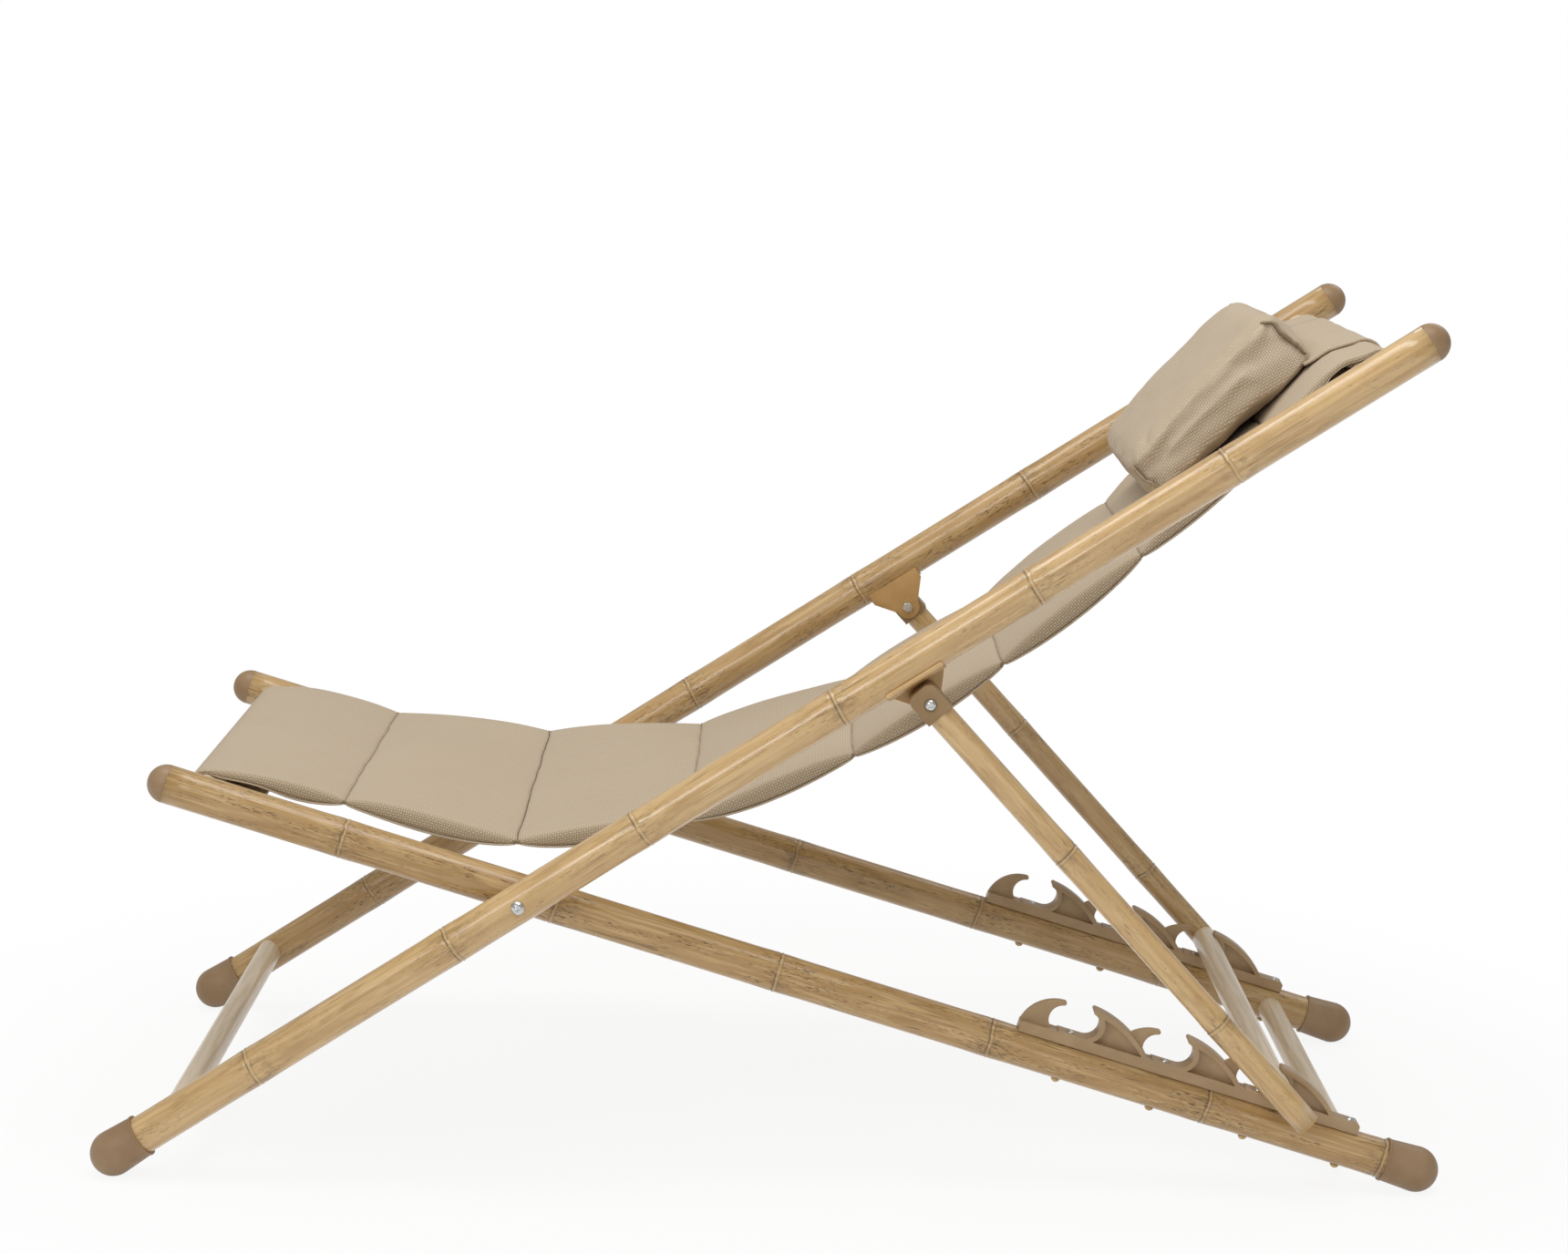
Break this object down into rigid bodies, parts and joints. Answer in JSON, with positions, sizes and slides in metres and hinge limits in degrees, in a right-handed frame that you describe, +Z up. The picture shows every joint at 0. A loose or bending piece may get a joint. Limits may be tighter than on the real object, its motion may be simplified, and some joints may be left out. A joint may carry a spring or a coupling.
{
  "type": "folding deck chair",
  "caption": "Folding sling deck chair with crossed tube frames, a prop that sits in a notched rack, a padded sling and a head pillow.",
  "frame": {"origin": "middle of the footprint's bounding box, on the floor", "axes": "+X to the rear of the chair, +Z up, so the sitter faces -X and the sitter's left is -Y"},
  "size_m": [1.256, 0.609, 0.8153],
  "materials": {
    "bamboo_paint": "satin",
    "plain_paint": "satin",
    "bracket_paint": "satin",
    "end_plastic": "satin",
    "rack_plastic": "satin",
    "washer_plastic": "matte",
    "zinc_steel": "bright",
    "sling_cloth": "woven"
  },
  "bodies": {
    "seat_frame": {"seat_rail_left": "bamboo_paint", "seat_rail_right": "bamboo_paint", "seat_foot_left": "end_plastic", "seat_foot_right": "end_plastic", "seat_cap_left": "end_plastic", "seat_cap_right": "end_plastic", "rear_cross_tube": "plain_paint", "front_rod": "plain_paint", "rack_left": "rack_plastic", "rack_right": "rack_plastic", "rack_screws": "zinc_steel", "rack_nuts": "end_plastic", "sling_seat": "sling_cloth", "sling_bend": "sling_cloth"},
    "pivot_pins": {"pivot_bolts": "zinc_steel", "pivot_washers": "washer_plastic", "pivot_nuts": "zinc_steel"},
    "back_frame": {"back_rail_left": "bamboo_paint", "back_rail_right": "bamboo_paint", "back_foot_left": "end_plastic", "back_foot_right": "end_plastic", "back_cap_left": "end_plastic", "back_cap_right": "end_plastic", "front_cross_tube": "plain_paint", "top_rod": "plain_paint", "prop_bracket_left": "bracket_paint", "prop_bracket_right": "bracket_paint", "hinge_nuts": "zinc_steel", "sling_back": "sling_cloth", "head_pillow": "sling_cloth", "pillow_flap": "sling_cloth"},
    "prop_frame": {"prop_leg_left": "bamboo_paint", "prop_leg_right": "bamboo_paint", "prop_bar": "plain_paint", "prop_knuckle_left": "rack_plastic", "prop_knuckle_right": "rack_plastic", "prop_end_plugs": "end_plastic", "hinge_bolts": "zinc_steel"}
  },
  "joints": [
    {"name": "back_raise", "type": "hinge", "parent": "seat_frame", "child": "pivot_pins", "pos_m": [-0.23356, 0, 0.2666], "axis": [0, -1, 0], "range_deg": [0, 24], "deforming": ["sling_bend"]},
    {"name": "frame_fold", "type": "hinge", "parent": "pivot_pins", "child": "back_frame", "pos_m": [-0.23356, 0, 0.2666], "axis": [0, -1, 0], "range_deg": [-36, 0], "deforming": ["sling_bend"]},
    {"name": "prop_swing", "type": "hinge", "parent": "back_frame", "child": "prop_frame", "pos_m": [0.13636, 0, 0.46201], "axis": [0, -1, 0], "range_deg": [0, 80]}
  ],
  "couplings": [
    {"joint": "prop_swing", "follows": "frame_fold", "ratio": -2.2}
  ]
}
